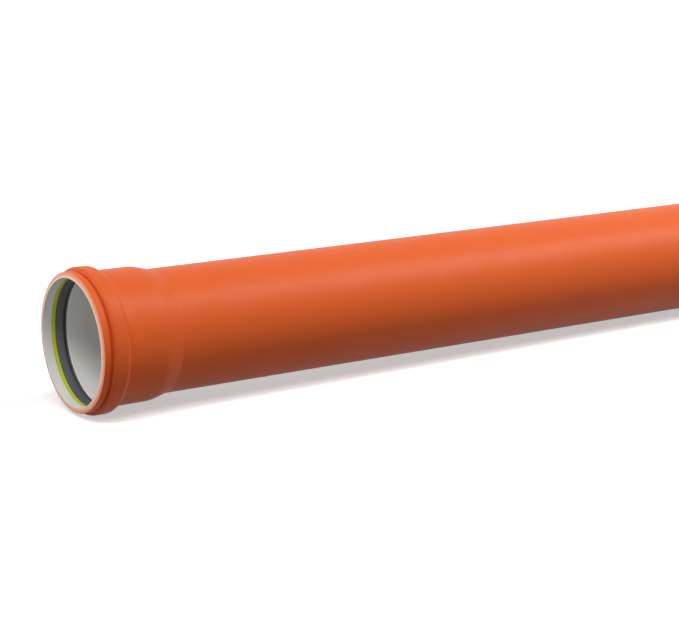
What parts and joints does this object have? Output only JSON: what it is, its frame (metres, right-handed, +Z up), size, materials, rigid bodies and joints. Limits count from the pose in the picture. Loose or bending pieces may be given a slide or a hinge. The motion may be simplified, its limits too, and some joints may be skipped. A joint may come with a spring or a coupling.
{
  "type": "polypropylene sewer pipe",
  "caption": "Straight socketed drain pipe with a beaded socket holding a rubber lip seal at one end and a chamfered spigot at the other, for push-fit gravity sewers.",
  "frame": {"origin": "on the pipe's axis where the socket's parallel bore ends, the seat of an inserted spigot", "axes": "+X along the axis from the socket to the spigot end, +Z up with the pipe lying on a floor"},
  "size_m": [1.0593, 0.1283, 0.1284],
  "materials": {
    "orange_polypropylene": "semi-gloss extruded",
    "pale_polypropylene": "semi-gloss extruded",
    "lime_polypropylene": "moulded satin",
    "black_rubber": "moulded matt"
  },
  "bodies": {
    "root": {"outer_layer": "orange_polypropylene", "inner_layer": "pale_polypropylene", "retaining_ring": "lime_polypropylene", "rubber_seal": "black_rubber"}
  },
  "joints": []
}
